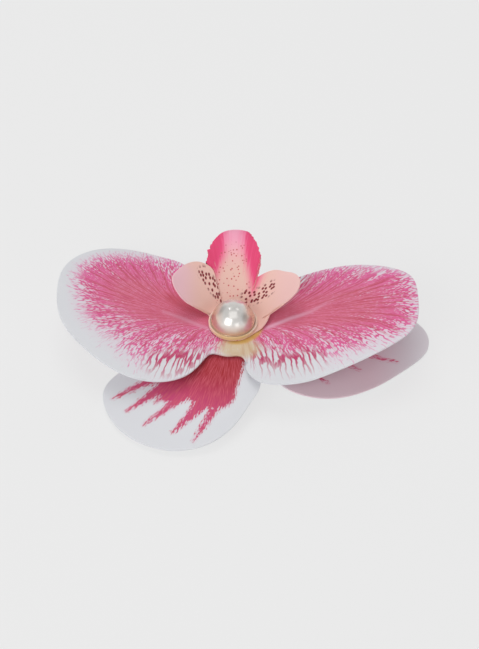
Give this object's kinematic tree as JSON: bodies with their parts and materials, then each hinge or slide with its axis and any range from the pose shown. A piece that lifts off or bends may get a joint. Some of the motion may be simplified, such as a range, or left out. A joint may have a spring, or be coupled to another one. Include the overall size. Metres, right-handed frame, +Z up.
{
  "type": "flower hair clip",
  "caption": "Moth-orchid flower of shaped printed fabric sheets with a half pearl, on a felt pad glued to a sprung metal alligator hair clip that opens.",
  "frame": {"origin": "on the flat underside of the lower arm, straight below the pearl", "axes": "+X along the clip towards the jaw tips, +Y towards the flower's lip, +Z up through the pearl"},
  "size_m": [0.1026, 0.0707, 0.0224],
  "materials": {
    "petal_print": "printed fabric, satin",
    "sepal_print": "printed fabric, satin",
    "lip_print": "printed fabric, satin",
    "pearl": "pearl lustre",
    "clear_glue": "clear cured glue",
    "hub_plastic": "moulded yellow plastic",
    "washer_plastic": "moulded",
    "felt": "pressed felt",
    "hot_melt": "cured hot-melt glue",
    "nickel_steel": "nickel-plated stamped steel",
    "pin_steel": "riveted steel",
    "spring_steel": "drawn spring wire"
  },
  "bodies": {
    "flower_and_upper_arm": {"petal_sheet": "petal_print", "sepal_sheet": "sepal_print", "lip": "lip_print", "half_pearl": "pearl", "pearl_glue": "clear_glue", "throat_hub": "hub_plastic", "hub_washer": "washer_plastic", "felt_pad": "felt", "pad_glue": "hot_melt", "upper_arm": "nickel_steel", "hinge_pin": "pin_steel", "torsion_spring": "spring_steel"},
    "lower_jaw": {"lower_arm": "nickel_steel"}
  },
  "joints": [
    {"name": "jaw_open", "type": "hinge", "parent": "flower_and_upper_arm", "child": "lower_jaw", "pos_m": [-0.007, 0, 0.0033], "axis": [0, 1, 0], "range_deg": [0, 25], "stiffness_Nm_per_rad": 0.02, "springref_deg": -28.65, "deforming": ["torsion_spring"]}
  ]
}
